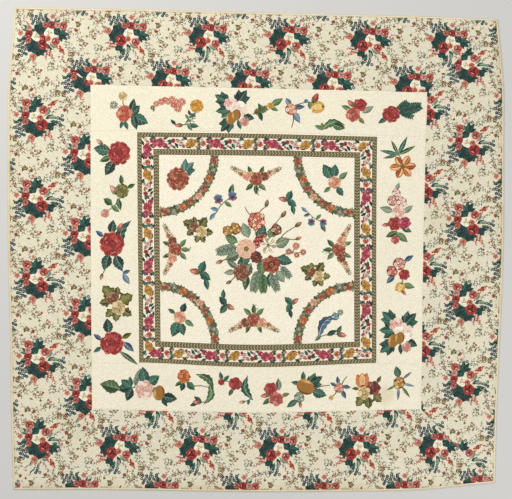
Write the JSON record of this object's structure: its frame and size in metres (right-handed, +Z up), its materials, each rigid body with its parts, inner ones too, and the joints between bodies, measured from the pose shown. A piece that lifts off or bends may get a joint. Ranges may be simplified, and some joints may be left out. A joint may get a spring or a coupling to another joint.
{
  "type": "applique quilt",
  "caption": "Chintz applique medallion quilt lying flat: bouquet in a striped frame, flower sprays on a cream border, chintz outer border, narrow binding.",
  "frame": {"origin": "under the middle of the quilt, on the surface that it lies on", "axes": "+Z up out of the quilt's face, +X to the right edge and +Y to the top edge of the face"},
  "size_m": [2.777, 2.7112, 0.0082],
  "materials": {
    "quilted_cotton": "cream cotton and printed chintz, quilted in fine diagonal lines, matt",
    "binding_tape": "cream twill tape, matt",
    "stripe_print": "printed cotton, matt, with a fine plain weave",
    "garland_print": "printed cotton, matt, with a fine plain weave",
    "chintz_rose": "printed cotton, matt, with a fine plain weave",
    "chintz_olive": "printed cotton, matt, with a fine plain weave",
    "chintz_gold": "printed cotton, matt, with a fine plain weave",
    "chintz_pink": "printed cotton, matt, with a fine plain weave",
    "chintz_green": "printed cotton, matt, with a fine plain weave",
    "chintz_red": "printed cotton, matt, with a fine plain weave",
    "chintz_orange": "printed cotton, matt, with a fine plain weave",
    "chintz_lilac": "printed cotton, matt, with a fine plain weave",
    "chintz_coral": "printed cotton, matt, with a fine plain weave",
    "chintz_ochre": "printed cotton, matt, with a fine plain weave",
    "chintz_brown": "printed cotton, matt, with a fine plain weave",
    "chintz_blue": "printed cotton, matt, with a fine plain weave"
  },
  "bodies": {
    "root": {"quilt_body": "quilted_cotton", "binding_top": "binding_tape", "binding_right": "binding_tape", "binding_bottom": "binding_tape", "binding_left": "binding_tape", "frame_top": "stripe_print", "frame_right": "stripe_print", "frame_bottom": "stripe_print", "frame_left": "stripe_print", "garland_top_left": "garland_print", "garland_top_right": "garland_print", "garland_bottom_right": "garland_print", "garland_bottom_left": "garland_print", "top_rose": "chintz_rose", "top_lilac": "chintz_olive", "top_gold": "chintz_gold", "top_peony": "chintz_pink", "top_tail": "chintz_olive", "top_tulip": "chintz_pink", "top_leaves": "chintz_green", "top_double_rose": "chintz_red", "top_carnation": "chintz_red", "right_lily": "chintz_orange", "right_tall": "chintz_lilac", "right_ribbon": "chintz_pink", "right_peony": "chintz_pink", "bottom_mum": "chintz_gold", "bottom_brown": "chintz_orange", "bottom_blue": "chintz_coral", "bottom_fruit": "chintz_ochre", "bottom_roses": "chintz_red", "bottom_dark_rose": "chintz_red", "bottom_fern": "chintz_orange", "bottom_swag": "chintz_pink", "left_stalk": "chintz_red", "left_olive": "chintz_brown", "left_tall": "chintz_red", "left_bud": "chintz_ochre", "left_peony": "chintz_red", "corner_mum": "chintz_brown", "corner_pink": "chintz_coral", "corner_coral": "chintz_coral", "corner_vine": "chintz_blue", "spray_top": "chintz_brown", "spray_right": "chintz_brown", "spray_bottom": "chintz_brown", "spray_left": "chintz_brown", "field_blue": "chintz_blue", "field_olive": "chintz_brown", "field_bud": "chintz_rose", "field_blue_small": "chintz_blue", "field_pink": "chintz_rose", "field_dark_bud": "chintz_rose", "field_brown": "chintz_brown", "field_small_bud": "chintz_rose", "bouquet": "chintz_coral"}
  },
  "joints": []
}
